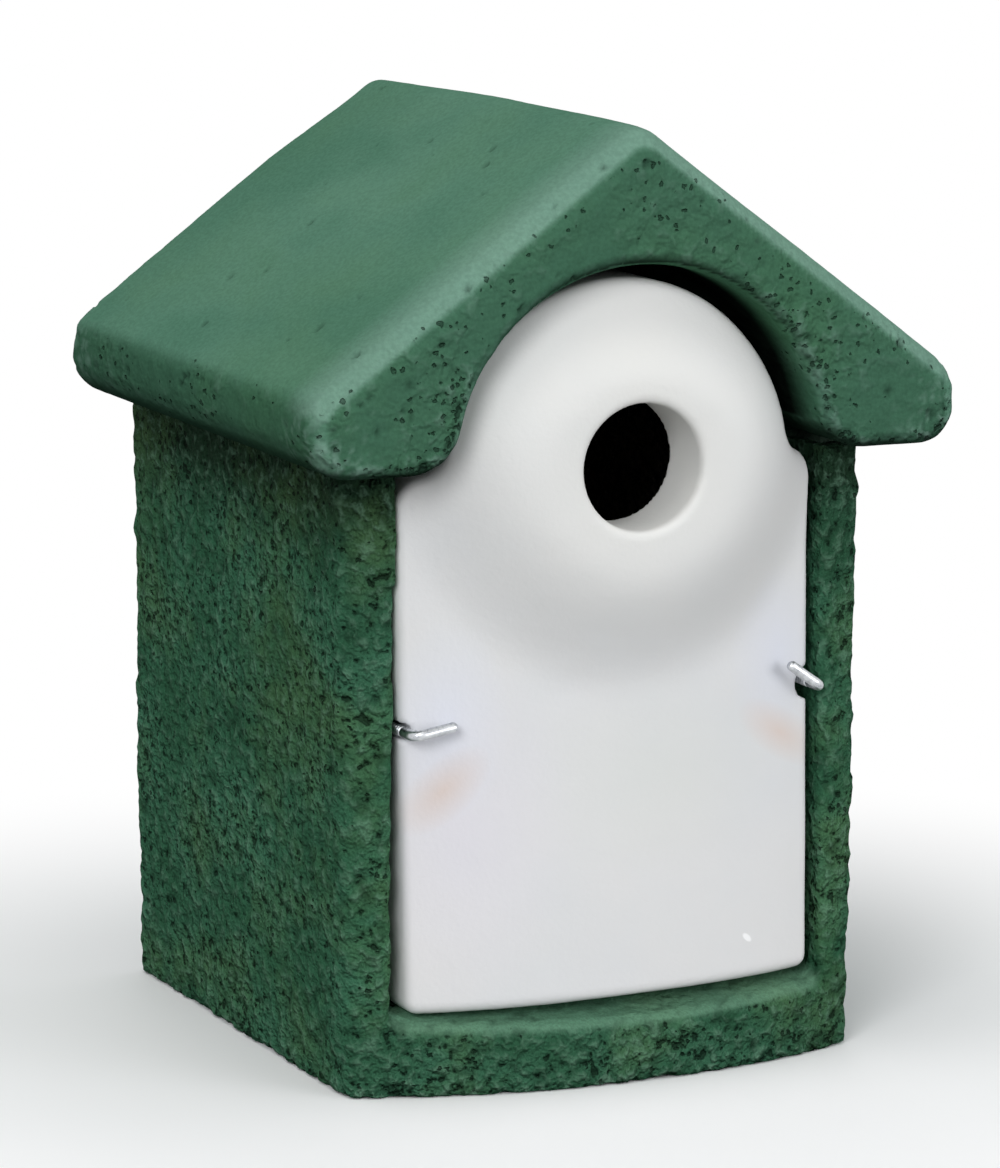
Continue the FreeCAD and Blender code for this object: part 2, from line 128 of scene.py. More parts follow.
# Painted wood concrete: wood fibre and cement pressed into a mould, so a matt skin with crevices,
# fibre marks and blow holes, under a thin coat of green masonry paint
def greenCoat(name, look):
    material, tree = newMaterial(name)
    place = add(tree, "TexCoord").outputs["Object"]
    place = add(tree, "Mapping", {"Scale": (1, 1 / look["layAlong"], 1)}, {"Vector": place}).outputs["Vector"]
    marks = {mark: add(tree, "Attribute", {"attribute_name": mark}).outputs["Fac"] for mark in skinMarks}
    cloud = add(tree, "TexNoise", {"Scale": perMm(look["cloudSize"]), "Detail": 4.0, "Roughness": 0.6},
                {"Vector": place}).outputs["Fac"]
    patch = add(tree, "TexNoise", {"Scale": perMm(look["patchSize"]), "Detail": 2.0},
                {"Vector": place}).outputs["Fac"]
    grit = add(tree, "TexNoise", {"Scale": perMm(look["gritSize"]), "Detail": 2.0, "Roughness": 0.6},
               {"Vector": place}).outputs["Fac"]
    fibre = add(tree, "TexNoise", {"Scale": perMm(look["clumpSize"]), "Detail": 2.0, "Roughness": 0.55,
                                   "Distortion": look["clumpTwist"]}, {"Vector": place}).outputs["Fac"]
    coarse, clump, crevice = addClumps(tree, look, patch, fibre, marks["open"])
    poreRim, poreCore = addPores(tree, look, place, coarse)
    # colour: two greens in patches, painted shade, a mossy cast here and there, painted highlights with pale
    # scuffs, and specks of grit
    tint = add(tree, "ValToRGB", {"stops": (coatSteps["greens"], look["greens"])},
               {"Fac": patch}).outputs["Color"]
    mossy = add(tree, "MapRange", {"span": coatSteps["moss"], "To Max": look["moss"]},
                {"Value": cloud}).outputs["Result"]
    for share, colour in ((marks["paintedShade"], "paintedShadeGreen"), (mossy, "mossGreen"), (marks["highlightAndScuff"], "paleWearAndHighlight")):
        tint = add(tree, "Mix", {"data_type": "RGBA", 7: hexLinear(look[colour])},
                   {0: share, 6: tint}).outputs[2]
    speck = add(tree, "MapRange", {"span": coatSteps["grit"],
                                   "gives": (1 - look["gritShade"], 1 + look["gritShade"])},
                {"Value": grit}).outputs["Result"]
    tint = add(tree, "Mix", {"data_type": "RGBA", "blend_type": "MULTIPLY", 0: 1.0},
               {6: tint, 7: speck}).outputs[2]
    # painted highlights on the fibre tips, pale worn chips on edges, painted shade in the hollows, crevices
    # and pores, and the bare inside, which on the roof is painted shade
    tip = add(tree, "MapRange", {"span": (look["tipStart"], look["tipFull"]), "To Max": look["tipShare"]},
              {"Value": clump}).outputs["Result"]
    chip = add(tree, "MapRange", {"span": coatSteps["chip"], "To Max": look["wear"]},
               {"Value": fibre}).outputs["Result"]
    tip = add(tree, "Math", {"operation": "MULTIPLY_ADD", "use_clamp": True},
              {0: marks["edge"], 1: chip, 2: tip}).outputs[0]
    dark = marks["hollow"]
    for sunken in (poreCore, crevice):
        dark = add(tree, "Math", {"operation": "MAXIMUM"}, {0: dark, 1: sunken}).outputs[0]
    dark = add(tree, "Math", {"operation": "MULTIPLY", 1: look["hollowShade"]}, {0: dark}).outputs[0]
    for share, colour in ((tip, "paleWearAndHighlight"), (dark, "hollowGreen")):
        tint = add(tree, "Mix", {"data_type": "RGBA", 7: hexLinear(look[colour])},
                   {0: share, 6: tint}).outputs[2]
    inner = add(tree, "ValToRGB", {"stops": (coatSteps["inner"], look["insideAndShadeColours"])},
                {"Fac": fibre}).outputs["Color"]
    tint = add(tree, "Mix", {"data_type": "RGBA"}, {0: marks["bareInsideAndShade"], 6: tint, 7: inner}).outputs[2]
    # height: clumps and grit, with the hollows sunk into them
    sunk = add(tree, "Math", {"operation": "MAXIMUM"}, {0: poreRim, 1: crevice}).outputs[0]
    rise = add(tree, "Math", {"operation": "MULTIPLY_ADD", 1: look["gritRise"]},
               {0: grit, 2: clump}).outputs[0]
    rise = add(tree, "Math", {"operation": "MULTIPLY_ADD", 1: -look["hollowSink"]},
               {0: sunk, 2: rise}).outputs[0]
    bump = add(tree, "Bump", {"Strength": 1.0, "Distance": look["bumpDepth"] * mm}, {"Height": rise})
    shader = add(tree, "BsdfPrincipled", {"IOR": paintIor, "Specular IOR Level": look["gloss"],
                                          "Roughness": look["matt"]},
                 {"Base Color": tint, "Normal": bump.outputs["Normal"]})
    add(tree, "OutputMaterial", None, {"Surface": shader.outputs["BSDF"]})
    return material


# Sizes, spacings and the bump's depth are in mm
bodyCoatLook = {
    "layAlong": 1.25,  # the fibre lies a little along the depth of the mould
    "cloudSize": 38, "patchSize": 20, "gritSize": 0.7, "clumpSize": 3.0, "clumpTwist": 0.1, "calmest": 0.75,
    "coarsest": 1.1, "creviceStart": 0.09, "creviceFull": 0.17, "tipStart": 0.01, "tipFull": 0.14,
    "poreSpacing": 2.1, "poreStart": 0.05, "poreSpan": 0.4, "poreReach": 1.2, "poreWidest": 0.4,
    # the shade green and the hollow green are painted shade; the pale green serves painted highlights and
    # worn chips
    "greens": ("#305b42", "#3f6f55"), "mossGreen": "#4b6840", "moss": 0.5, "paintedShadeGreen": "#1d3122",
    "paleWearAndHighlight": "#759c83", "hollowGreen": "#0b140e", "gritShade": 0.12, "tipShare": 0.28, "wear": 0.4,
    "hollowShade": 0.75, "gritRise": 0.035, "hollowSink": 0.24, "bumpDepth": 5.6, "matt": 0.85, "gloss": 0.02,
    "insideAndShadeColours": ("#3b382f", "#5b564a"),
}
roofCoatLook = {
    "layAlong": 1.6,
    "cloudSize": 60, "patchSize": 30, "gritSize": 1.0, "clumpSize": 4.5, "clumpTwist": 0.15, "calmest": 0.4,
    "coarsest": 1.7, "creviceStart": 0.12, "creviceFull": 0.17, "tipStart": 0.02, "tipFull": 0.15,
    "poreSpacing": 2.1, "poreStart": -0.05, "poreSpan": 1.4, "poreReach": 1.5, "poreWidest": 0.36,
    # the shade green is painted shade on the gable, fascias and undersides; the pale green serves a painted
    # highlight along the rakes, pale scuffs and worn chips
    "greens": ("#4f7863", "#5d8570"), "mossGreen": "#3f6847", "moss": 0.35, "paintedShadeGreen": "#3a5f4a",
    "paleWearAndHighlight": "#7b9b8c", "hollowGreen": "#13221a", "gritShade": 0.08, "tipShare": 0.3, "wear": 0.8,
    "hollowShade": 0.62, "gritRise": 0.003, "hollowSink": 0.2, "bumpDepth": 5.5, "matt": 0.6, "gloss": 0.0,
    # on the roof the inside colours are near-black painted shade under the roof and in the arch
    "insideAndShadeColours": ("#0b110d", "#131c16"),
}


# Pale grey masonry paint over the same concrete, trowelled smooth: matt, faintly uneven, a few pinholes
def paleCoat(look):
    material, tree = newMaterial("paleMasonryPaint")
    place = add(tree, "TexCoord").outputs["Object"]
    cloud, grit = [add(tree, "TexNoise", {"Scale": perMm(look[size]), "Detail": 3.0},
                       {"Vector": place}).outputs["Fac"] for size in ("cloudSize", "gritSize")]
    tint = add(tree, "ValToRGB", {"stops": (noiseSpan, look["greys"])}, {"Fac": cloud}).outputs["Color"]
    for mark in look["rubMarks"]:
        local = add(tree, "Mapping", {"vector_type": "TEXTURE",
                                      "Location": [value * mm for value in mark["at"]],
                                      "Rotation": (0, math.radians(mark["turn"]), 0),
                                      "Scale": [size * mm for size in mark["size"]]},
                    {"Vector": place}).outputs["Vector"]
        ball = add(tree, "TexGradient", {"gradient_type": "SPHERICAL"}, {"Vector": local}).outputs["Fac"]
        fade = add(tree, "Math", {"operation": "MULTIPLY", 1: mark["strength"], "use_clamp": True},
                   {0: ball}).outputs[0]
        tint = add(tree, "Mix", {"data_type": "RGBA", 7: hexLinear(mark["colour"])},
                   {0: fade, 6: tint}).outputs[2]
    hollow = add(tree, "Attribute", {"attribute_name": "hollow"}).outputs["Fac"]
    dark = add(tree, "Math", {"operation": "MULTIPLY", 1: look["pitShade"]}, {0: hollow}).outputs[0]
    tint = add(tree, "Mix", {"data_type": "RGBA", 7: hexLinear(look["pitGrey"])},
               {0: dark, 6: tint}).outputs[2]
    rise = add(tree, "Math", {"operation": "ADD"}, {0: grit, 1: cloud}).outputs[0]
    bump = add(tree, "Bump", {"Strength": look["bump"], "Distance": look["bumpDepth"] * mm}, {"Height": rise})
    shader = add(tree, "BsdfPrincipled", {"Roughness": look["matt"], "IOR": paintIor,
                                          "Specular IOR Level": look["gloss"]},
                 {"Base Color": tint, "Normal": bump.outputs["Normal"]})
    add(tree, "OutputMaterial", None, {"Surface": shader.outputs["BSDF"]})
    return material


paleCoatLook = {
    "cloudSize": 45, "gritSize": 1.4, "greys": ("#dddede", "#e2e1df"), "pitGrey": "#8e8f8b", "pitShade": 0.5,
    "bump": 0.25, "bumpDepth": 0.25, "matt": 0.55, "gloss": 0.35,
    "rubMarks": [  # broad tints, cool patches, two peach smears and a white chip, turned in degrees
        {"at": (0, -75, 163), "turn": 0, "size": (64, 60, 64), "colour": "#dbdad1", "strength": 0.6},
        {"at": (10, -72, 80), "turn": 0, "size": (36, 30, 28), "colour": "#d8dbd6", "strength": 0.6},
        {"at": (-42, -68, 68), "turn": 0, "size": (30, 30, 46), "colour": "#e2dee6", "strength": 0.6},
        {"at": (-46, -68, 96), "turn": 0, "size": (16, 30, 26), "colour": "#dfe2ec", "strength": 0.7},
        {"at": (46, -68, 106), "turn": 0, "size": (16, 30, 24), "colour": "#dcdfea", "strength": 0.7},
        {"at": (-47, -68, 78.5), "turn": -43, "size": (15, 30, 7.5), "colour": "#dcc8bb", "strength": 0.75},
        {"at": (47, -68, 86), "turn": 32, "size": (16, 30, 6.5), "colour": "#dcc9bd", "strength": 0.75},
        {"at": (37, -70, 33.5), "turn": 40, "size": (1.9, 30, 0.9), "colour": "#fbfbfa", "strength": 3.0},
    ],
}

zincLook = {
    "streakSize": 1.8, "greys": ("#a9adb2", "#dcdee0"), "matt": (0.22, 0.42), "bump": 0.15, "bumpDepth": 0.1,
}


# Bright zinc plate on drawn steel wire and pressed sheet: silvery, slightly streaked
def zincPlate(look):
    material, tree = newMaterial("zincPlatedSteel")
    place = add(tree, "TexCoord").outputs["Object"]
    streak = add(tree, "TexNoise", {"Scale": perMm(look["streakSize"]), "Detail": 4.0, "Roughness": 0.7},
                 {"Vector": place}).outputs["Fac"]
    tint = add(tree, "ValToRGB", {"stops": (noiseSpan, look["greys"])}, {"Fac": streak}).outputs["Color"]
    rough = add(tree, "MapRange", {"span": noiseSpan, "gives": look["matt"]},
                {"Value": streak}).outputs["Result"]
    bump = add(tree, "Bump", {"Strength": look["bump"], "Distance": look["bumpDepth"] * mm},
               {"Height": streak})
    shader = add(tree, "BsdfPrincipled", {"Metallic": 1.0},
                 {"Base Color": tint, "Roughness": rough, "Normal": bump.outputs["Normal"]})
    add(tree, "OutputMaterial", None, {"Surface": shader.outputs["BSDF"]})
    return material


nylonLook = {"cloudSize": 3, "greys": ("#6b6d6e", "#7c7e7f"), "matt": 0.5, "ior": 1.53}


# Nylon wall plug: moulded, dull grey, waxy
def nylonPlug(look):
    material, tree = newMaterial("greyNylon")
    place = add(tree, "TexCoord").outputs["Object"]
    cloud = add(tree, "TexNoise", {"Scale": perMm(look["cloudSize"]), "Detail": 2.0},
                {"Vector": place}).outputs["Fac"]
    tint = add(tree, "ValToRGB", {"stops": (noiseSpan, look["greys"])}, {"Fac": cloud}).outputs["Color"]
    shader = add(tree, "BsdfPrincipled", {"Roughness": look["matt"], "IOR": look["ior"]},
                 {"Base Color": tint})
    add(tree, "OutputMaterial", None, {"Surface": shader.outputs["BSDF"]})
    return material


mortarLook = {"sandSize": 0.8, "greens": ("#1b2f22", "#2c4735"), "matt": 0.9, "bump": 0.8, "bumpDepth": 0.5}


# Cement mortar squeezed out in the joint under the roof: dark, sandy
def mortarJoint(look):
    material, tree = newMaterial("cementMortar")
    place = add(tree, "TexCoord").outputs["Object"]
    sand = add(tree, "TexNoise", {"Scale": perMm(look["sandSize"]), "Detail": 3.0},
               {"Vector": place}).outputs["Fac"]
    tint = add(tree, "ValToRGB", {"stops": (noiseSpan, look["greens"])}, {"Fac": sand}).outputs["Color"]
    bump = add(tree, "Bump", {"Strength": look["bump"], "Distance": look["bumpDepth"] * mm}, {"Height": sand})
    shader = add(tree, "BsdfPrincipled", {"Roughness": look["matt"]},
                 {"Base Color": tint, "Normal": bump.outputs["Normal"]})
    add(tree, "OutputMaterial", None, {"Surface": shader.outputs["BSDF"]})
    return material


weldGap = 0.001 * mm
softStep = 0.5  # how far one turn of softening moves a point to the middle of its neighbours


# A casting's skin starts as an even mesh over the CAD casting
def evenSkin(node, name, voxel):
    bm = bmesh.new()
    bm.from_mesh(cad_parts[node].data)
    bmesh.ops.remove_doubles(bm, verts=bm.verts, dist=weldGap)
    mesh = bpy.data.meshes.new(name)
    bm.to_mesh(mesh)
    bm.free()
    skin = bpy.data.objects.new(name, mesh)
    bpy.context.collection.objects.link(skin)
    even = skin.modifiers.new("even", "REMESH")
    even.mode = "VOXEL"
    even.voxel_size = voxel * mm
    true = skin.modifiers.new("true", "SHRINKWRAP")  # brings the even mesh back onto the casting's own faces
    true.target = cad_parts[node]
    true.wrap_method = "NEAREST_SURFACEPOINT"
    graph = bpy.context.evaluated_depsgraph_get()
    done = bpy.data.meshes.new_from_object(skin.evaluated_get(graph))
    skin.modifiers.clear()
    skin.data = done
    return skin


def softenEdges(skin, picked, turns):
    bm = bmesh.new()
    bm.from_mesh(skin.data)
    soft = [vert for vert in bm.verts if picked(vert.co / mm)]
    for turn in range(turns):
        bmesh.ops.smooth_vert(bm, verts=soft, factor=softStep, use_axis_x=True, use_axis_y=True,
                              use_axis_z=True)
    bm.to_mesh(skin.data)
    bm.free()


# How far each point stands out from its neighbours, from 0 on flat or hollow places to 1 on a sharp edge
def edgeBends(bm, cast):
    bends = []
    for vert in bm.verts:
        ring = [edge.other_vert(vert).co for edge in vert.link_edges]
        middle = sum(ring, Vector()) / len(ring)
        bends.append((vert.co - middle).dot(vert.normal) / (cast["voxel"] * mm))
    for turn in range(cast["edgeSpread"]):
        spread = []
        for vert in bm.verts:
            ring = [bends[edge.other_vert(vert).index] for edge in vert.link_edges]
            spread.append((bends[vert.index] + sum(ring)) / (len(ring) + 1))
        bends = spread
    return [fadeUp(bend * cast["edgeGain"], 0, 1) for bend in bends]


holeDraw = {"shuffle": 13.7, "smallest": 0.45}  # the smallest hole has that share of the radius


def blowHole(spot, cast, share):
    near, points = noise.voronoi(spot / cast["holeSpacing"])
    draw = 0.5 + 0.5 * noise.cell(points[0] * holeDraw["shuffle"])
    if draw > share:
        return 0.0
    wide = cast["holeRadius"] * (holeDraw["smallest"] + (1 - holeDraw["smallest"]) * draw / share)
    return max(0.0, 1 - (near[0] * cast["holeSpacing"] / wide) ** 2)


# Turned, so that no straight edge runs along the grain's own lattice
grainTilt = Matrix.Rotation(math.radians(34), 3, Vector((1, 2, 3)))
grainSteps = {"fall": 0.8, "closer": 2.2, "octaves": 2}  # how its octaves weaken and tighten
grainPit = (0.2, 0.6)  # how low the grain is where it starts to look like a pit, and where it does in full
patchMiddle = 0.6  # blow holes crowd and thin out about this share
chipStart = 0.1  # chips start this far below the middle of their noise
footRise = (0.0, 3.0)  # mm above the ground over which the skin may come to stand out


# Waves, lumps, grain, blow holes and chips move each point along its normal, and the coat gets its marks
def roughen(skin, cast):
    bm = bmesh.new()
    bm.from_mesh(skin.data)
    bm.normal_update()
    layers = {mark: bm.verts.layers.float.new(mark) for mark in skinMarks}
    moves = []
    for vert, bend in zip(bm.verts, edgeBends(bm, cast)):
        spot, normal = vert.co / mm, vert.normal
        still = cast["calm"](spot, normal)
        opened = cast["openness"](spot, normal, bend)
        worn = bend * cast["chips"](spot, normal)
        grain = noise.fractal(grainTilt @ spot / cast["grainSize"], *grainSteps.values())
        crowd = patchMiddle + noise.noise(spot / cast["patchSize"])
        hole = blowHole(spot, cast, cast["holeShare"] * max(opened, cast["leastOpen"]) * crowd)
        height = noise.noise(spot / cast["waveSize"]) * cast["waveDepth"]
        height += noise.noise(spot / cast["lumpSize"]) * cast["lumpDepth"] * opened
        height += grain * cast["grainDepth"] * opened
        height -= hole * cast["holeDepth"]
        height -= worn * cast["chipDepth"] * max(0.0, noise.noise(spot / cast["chipSize"]) + chipStart)
        top = cast["proud"] * fadeUp(spot.z, *footRise)
        # hollow is painted shade in blow holes and in the low grain, edge is worn chips
        told = {
            "edge": worn, "open": opened, "bareInsideAndShade": cast["bareInsideAndShade"](spot, normal),
            "hollow": max(hole, fadeUp(-grain, *grainPit) * cast["grainShade"]) * still,
            "paintedShade": cast["paintedShade"](spot, normal), "highlightAndScuff": cast["highlightAndScuff"](spot, normal),
        }
        for mark, value in told.items():
            vert[layers[mark]] = value
        moves.append(normal * ((min(height, top) * still - cast["sag"](spot, normal)) * mm))
    for vert, move in zip(bm.verts, moves):
        vert.co += move
    bm.to_mesh(skin.data)
    bm.free()
    for face in skin.data.polygons:
        face.use_smooth = True


def finishSkin(cast):
    skin = evenSkin(cast["node"], cast["name"], cast["voxel"])
    for picked, turns in cast["softened"]:
        softenEdges(skin, picked, turns)
    roughen(skin, cast)
    skin.data.materials.clear()
    skin.data.materials.append(cast["material"])
    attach(skin, cast["body"])
    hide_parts(cast["node"])
    print(cast["name"], "has", len(skin.data.polygons), "faces")


def nowhere(spot, normal):
    return 0.0


def everywhere(spot, normal, bend=0.0):
    return 1.0


hangerLow, hangerHigh = [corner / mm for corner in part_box("hanger_plate")]
roofLow, roofHigh = [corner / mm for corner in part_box("roof_casting")]
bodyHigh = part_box("body_casting")[1] / mm
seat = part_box("front_plate")[1].y / mm  # the plate's back rests on this plane of the body

# Places on the body in mm, with shares beside them. A pair is where a change starts and where it is whole,
# and a value named for a face is the part of the normal that points that way
bodyPlaces = {
    "joint": (-1.5, -0.3), "jointHeld": 0.8,  # from the top: the mortar holds most of the relief back
    "hangerMargin": 4, "hangerFront": 14,  # no relief this far round the hanger and in front of it
    "seatMargin": 1.2, "seatFace": 0.7, "seatRelief": 0.2,
    "foot": (14, 5), "rightSide": (60, 66), "forward": (40, 60),  # the foot and right front corner are ragged
    "open": 0.85, "raggedMore": 0.3, "edgeLess": 0.5, "sillCalm": 0.7, "sillCalmFace": (0.3, 0.7),
    "chipLeast": 0.35, "chipFoot": (12, 4),
    "chamberHalf": 53, "chamberFront": 1, "chamberBack": 66, "chamberFloor": 19,
    "frontDepth": 6, "sillHalf": 64, "sillLow": 9, "sillHigh": 23,
    "jambInner": 52, "jambOuter": 68, "jambLow": 12,
    "frontFace": (0.5, 0.8), "frontShade": 0.1, "low": (24, 16), "lowShade": 0.15,
    "high": (-65, -20), "highShade": 0.33, "eave": (-28, -8), "eaveShade": 0.95,  # from the top
    "sillHighlightFace": (0.25, 0.7), "highlightAndScuff": 0.42,
}


def nearSill(spot):
    at = bodyPlaces
    level = at["sillLow"] < spot.z < at["sillHigh"]
    return level and abs(spot.x) < at["sillHalf"] and spot.y < seat - at["frontDepth"]


def nearJambs(spot):
    at = bodyPlaces
    upright = at["jambInner"] < abs(spot.x) < at["jambOuter"]
    return upright and spot.y < seat - at["frontDepth"] and spot.z > at["jambLow"]


def bodyCalm(spot, normal):
    at = bodyPlaces
    margin = at["hangerMargin"]
    still = 1 - fadeUp(spot.z - bodyHigh.z, *at["joint"]) * at["jointHeld"]
    nearHanger = abs(spot.x) < hangerHigh.x + margin and hangerLow.z - margin < spot.z < hangerHigh.z + margin
    if nearHanger and spot.y > hangerLow.y - at["hangerFront"]:
        still = 0.0
    if abs(spot.y - seat) < at["seatMargin"] and normal.y < -at["seatFace"]:
        still *= at["seatRelief"]
    return still


def bodyOpenness(spot, normal, bend):
    at = bodyPlaces
    corner = fadeUp(spot.x, *at["rightSide"]) * fadeUp(-spot.y, *at["forward"])
    ragged = max(fadeUp(spot.z, *at["foot"]), corner)
    opened = at["open"] + bend * (at["raggedMore"] * ragged - at["edgeLess"] * (1 - ragged))
    return opened * (1 - at["sillCalm"] * nearSill(spot) * fadeUp(normal.z, *at["sillCalmFace"]))


def bodyChips(spot, normal):
    least = bodyPlaces["chipLeast"]
    return least + (1 - least) * fadeUp(spot.z, *bodyPlaces["chipFoot"])


def bodyInside(spot, normal):
    at = bodyPlaces
    between = abs(spot.x) < at["chamberHalf"] and seat + at["chamberFront"] < spot.y < at["chamberBack"]
    return 1.0 if between and spot.z > at["chamberFloor"] else 0.0


# Painted shade: front faces a little darker all over, darker towards the top under the roof and towards the
# sill, and all faces darkest just under the eave
def bodyPaintedShade(spot, normal):
    at = bodyPlaces
    under = spot.z - bodyHigh.z
    front = at["frontShade"] + at["highShade"] * fadeUp(under, *at["high"])
    front += at["lowShade"] * fadeUp(spot.z, *at["low"])
    eave = at["eaveShade"] * fadeUp(under, *at["eave"])  # painted shade under the eave
    return max(front * fadeUp(-normal.y, *at["frontFace"]), eave)


# A painted highlight on the sill's upward faces
def sillHighlight(spot, normal):
    return bodyPlaces["highlightAndScuff"] * fadeUp(normal.z, *bodyPlaces["sillHighlightFace"]) * nearSill(spot)


bodyCast = {
    "node": "body_casting", "name": "bodyCastingSkin", "body": "box", "slot": "green_body",
    "material": greenCoat("greenRoughWoodConcrete", bodyCoatLook),
    "voxel": 1.38, "edgeSpread": 1, "edgeGain": 4.0,
    "waveSize": 42, "waveDepth": 0.5, "lumpSize": 8, "lumpDepth": 0.45, "grainSize": 4.2, "grainDepth": 0.8,
    "patchSize": 24, "holeSpacing": 6.5, "holeRadius": 1.9, "holeDepth": 1.4, "holeShare": 0.25,
    "leastOpen": 0.0, "chipSize": 3.6, "chipDepth": 2.2, "grainShade": 0.5,
    "softened": [(nearSill, 12), (nearJambs, 4)],
    "proud": 0.7, "calm": bodyCalm, "openness": bodyOpenness, "bareInsideAndShade": bodyInside, "paintedShade": bodyPaintedShade,
    "highlightAndScuff": sillHighlight, "chips": bodyChips, "sag": nowhere,
}

# Places on the roof, in the same way. Depths count from the front, and those below zero from the back
roofPlaces = {
    "underFace": 0.7, "underRelief": 0.25,
    "slopeOpen": 0.025, "gableOpen": 0.228, "fasciaOpen": 0.13, "edgeOpen": 0.8, "gableFace": (0.5, 0.9),
    "fasciaFace": (0.75, 0.95), "low": (215, 165),
    "archAxis": 159, "archReach": 51.6, "archFace": 0.7,  # the arch's soffit lies within reach of its axis
    "archDepth": (5, 18),
    "shadeFace": (0.1, 0.7), "shade": 0.6, "innerShade": 0.25, "inner": (76, 70),
    "gableShade": 0.9, "gableShadeFace": (0.86, 0.96), "underShadeFace": (0.2, 0.6),
    "chipLeast": 0.15, "chipLow": (190, 165), "chipSide": (70, 84), "chipFront": (24, 6),
    "chipBack": (-34, -10),
    "rakeBand": (21, 5), "rakeHighlightAndScuffs": 0.5, "rakeTopFace": (0.1, 0.35), "rakeFrontFace": (0.95, 0.85),
    "scuffFront": (26, 8), "scuffBack": (-32, -12), "scuffLow": (186, 170), "scuffSide": (66, 78),
    "scuff": 0.4, "scuffSize": 1.7, "scuffGroup": 8, "scuffGroupShare": 0.6, "scuffSpan": (0.1, 0.6),
    "fallOver": (16, 0), "fall": 1.3, "ridge": (222, 240), "ridgeDrop": 1.7, "slope": (182, 236),
    "crown": 2.6, "slopeFace": (0.0, 0.5),
    "trowelRun": (0.8, 0.6), "trowelWide": 2.2, "trowelLong": 35, "trowelDepth": 0.3,
    "trowelFace": (0.9, 0.98), "trowelHigh": (185, 210),
}


def roofCalm(spot, normal):
    return 1.0 if normal.z > -roofPlaces["underFace"] else roofPlaces["underRelief"]


def roofOpenness(spot, normal, bend):
    at = roofPlaces
    low = fadeUp(spot.z, *at["low"])
    gable = at["gableOpen"] * fadeUp(-normal.y, *at["gableFace"]) * (1 + low)  # more porous than the slopes
    fascia = at["fasciaOpen"] * fadeUp(abs(normal.x), *at["fasciaFace"])
    return at["slopeOpen"] + max(gable, fascia) + at["edgeOpen"] * bend * low


# Painted shade: near-black in the arch's soffit from a little behind the front, and darker undersides, most
# of all inwards of the eaves
def roofArchAndUndersideShade(spot, normal):
    at = roofPlaces
    above = spot.z - at["archAxis"]
    if above > 0 and math.hypot(spot.x, above) < at["archReach"] and normal.y < at["archFace"]:
        return fadeUp(spot.y - roofLow.y, *at["archDepth"])
    inner = at["innerShade"] * fadeUp(abs(spot.x), *at["inner"])
    return fadeUp(-normal.z, *at["shadeFace"]) * (at["shade"] + inner)


# Painted shade: the gable, the fascias and the undersides darker than the slopes
def roofPaintedShade(spot, normal):
    at = roofPlaces
    gable = at["gableShade"] * fadeUp(-normal.y, *at["gableShadeFace"])
    return max(gable, fadeUp(abs(normal.x), *at["fasciaFace"]), fadeUp(-normal.z, *at["underShadeFace"]))


def roofChips(spot, normal):
    at = roofPlaces
    ends = max(fadeUp(spot.y - roofLow.y, *at["chipFront"]), fadeUp(spot.y - roofHigh.y, *at["chipBack"]))
    corner = ends * fadeUp(abs(spot.x), *at["chipSide"]) * fadeUp(spot.z, *at["chipLow"])
    return at["chipLeast"] + (1 - at["chipLeast"]) * corner


# A painted highlight along the rakes, and pale scuffs worn into the four low corners
def rakeHighlightAndScuffs(spot, normal):
    at = roofPlaces
    faces = fadeUp(normal.z, *at["rakeTopFace"]) * fadeUp(-normal.y, *at["rakeFrontFace"])
    rake = at["rakeHighlightAndScuffs"] * fadeUp(spot.y - roofLow.y, *at["rakeBand"]) * faces
    ends = max(fadeUp(spot.y - roofLow.y, *at["scuffFront"]), fadeUp(spot.y - roofHigh.y, *at["scuffBack"]))
    corner = ends * fadeUp(spot.z, *at["scuffLow"]) * fadeUp(abs(spot.x), *at["scuffSide"])
    spread = noise.noise(spot / at["scuffSize"])
    spread += at["scuffGroupShare"] * noise.noise(spot / at["scuffGroup"])
    return max(rake, at["scuff"] * corner * fadeUp(spread, *at["scuffSpan"]))


# The slopes fall away gently towards the rakes, and the ridge drops and the slopes swell a little to the back
def rakeSag(spot, normal):
    at = roofPlaces
    front = fadeUp(spot.y - roofLow.y, *at["fallOver"])
    back = fadeUp(spot.y, 0, roofHigh.y)
    climb = fadeUp(spot.z, *at["slope"])
    ridge = at["ridgeDrop"] * back * fadeUp(spot.z, *at["ridge"])
    crown = at["crown"] * climb * (1 - climb) * back
    return (at["fall"] * front * front + ridge - crown) * fadeUp(normal.z, *at["slopeFace"])


def trowelMarks(spot, normal):
    at = roofPlaces
    run, rise = at["trowelRun"]
    across, along = run * spot.z + rise * abs(spot.x), run * abs(spot.x) - rise * spot.z
    mark = noise.noise(Vector((across / at["trowelWide"], along / at["trowelLong"], 0)))
    return at["trowelDepth"] * mark * fadeUp(-normal.y, *at["trowelFace"]) * fadeUp(spot.z, *at["trowelHigh"])


def roofSag(spot, normal):
    return rakeSag(spot, normal) + trowelMarks(spot, normal)


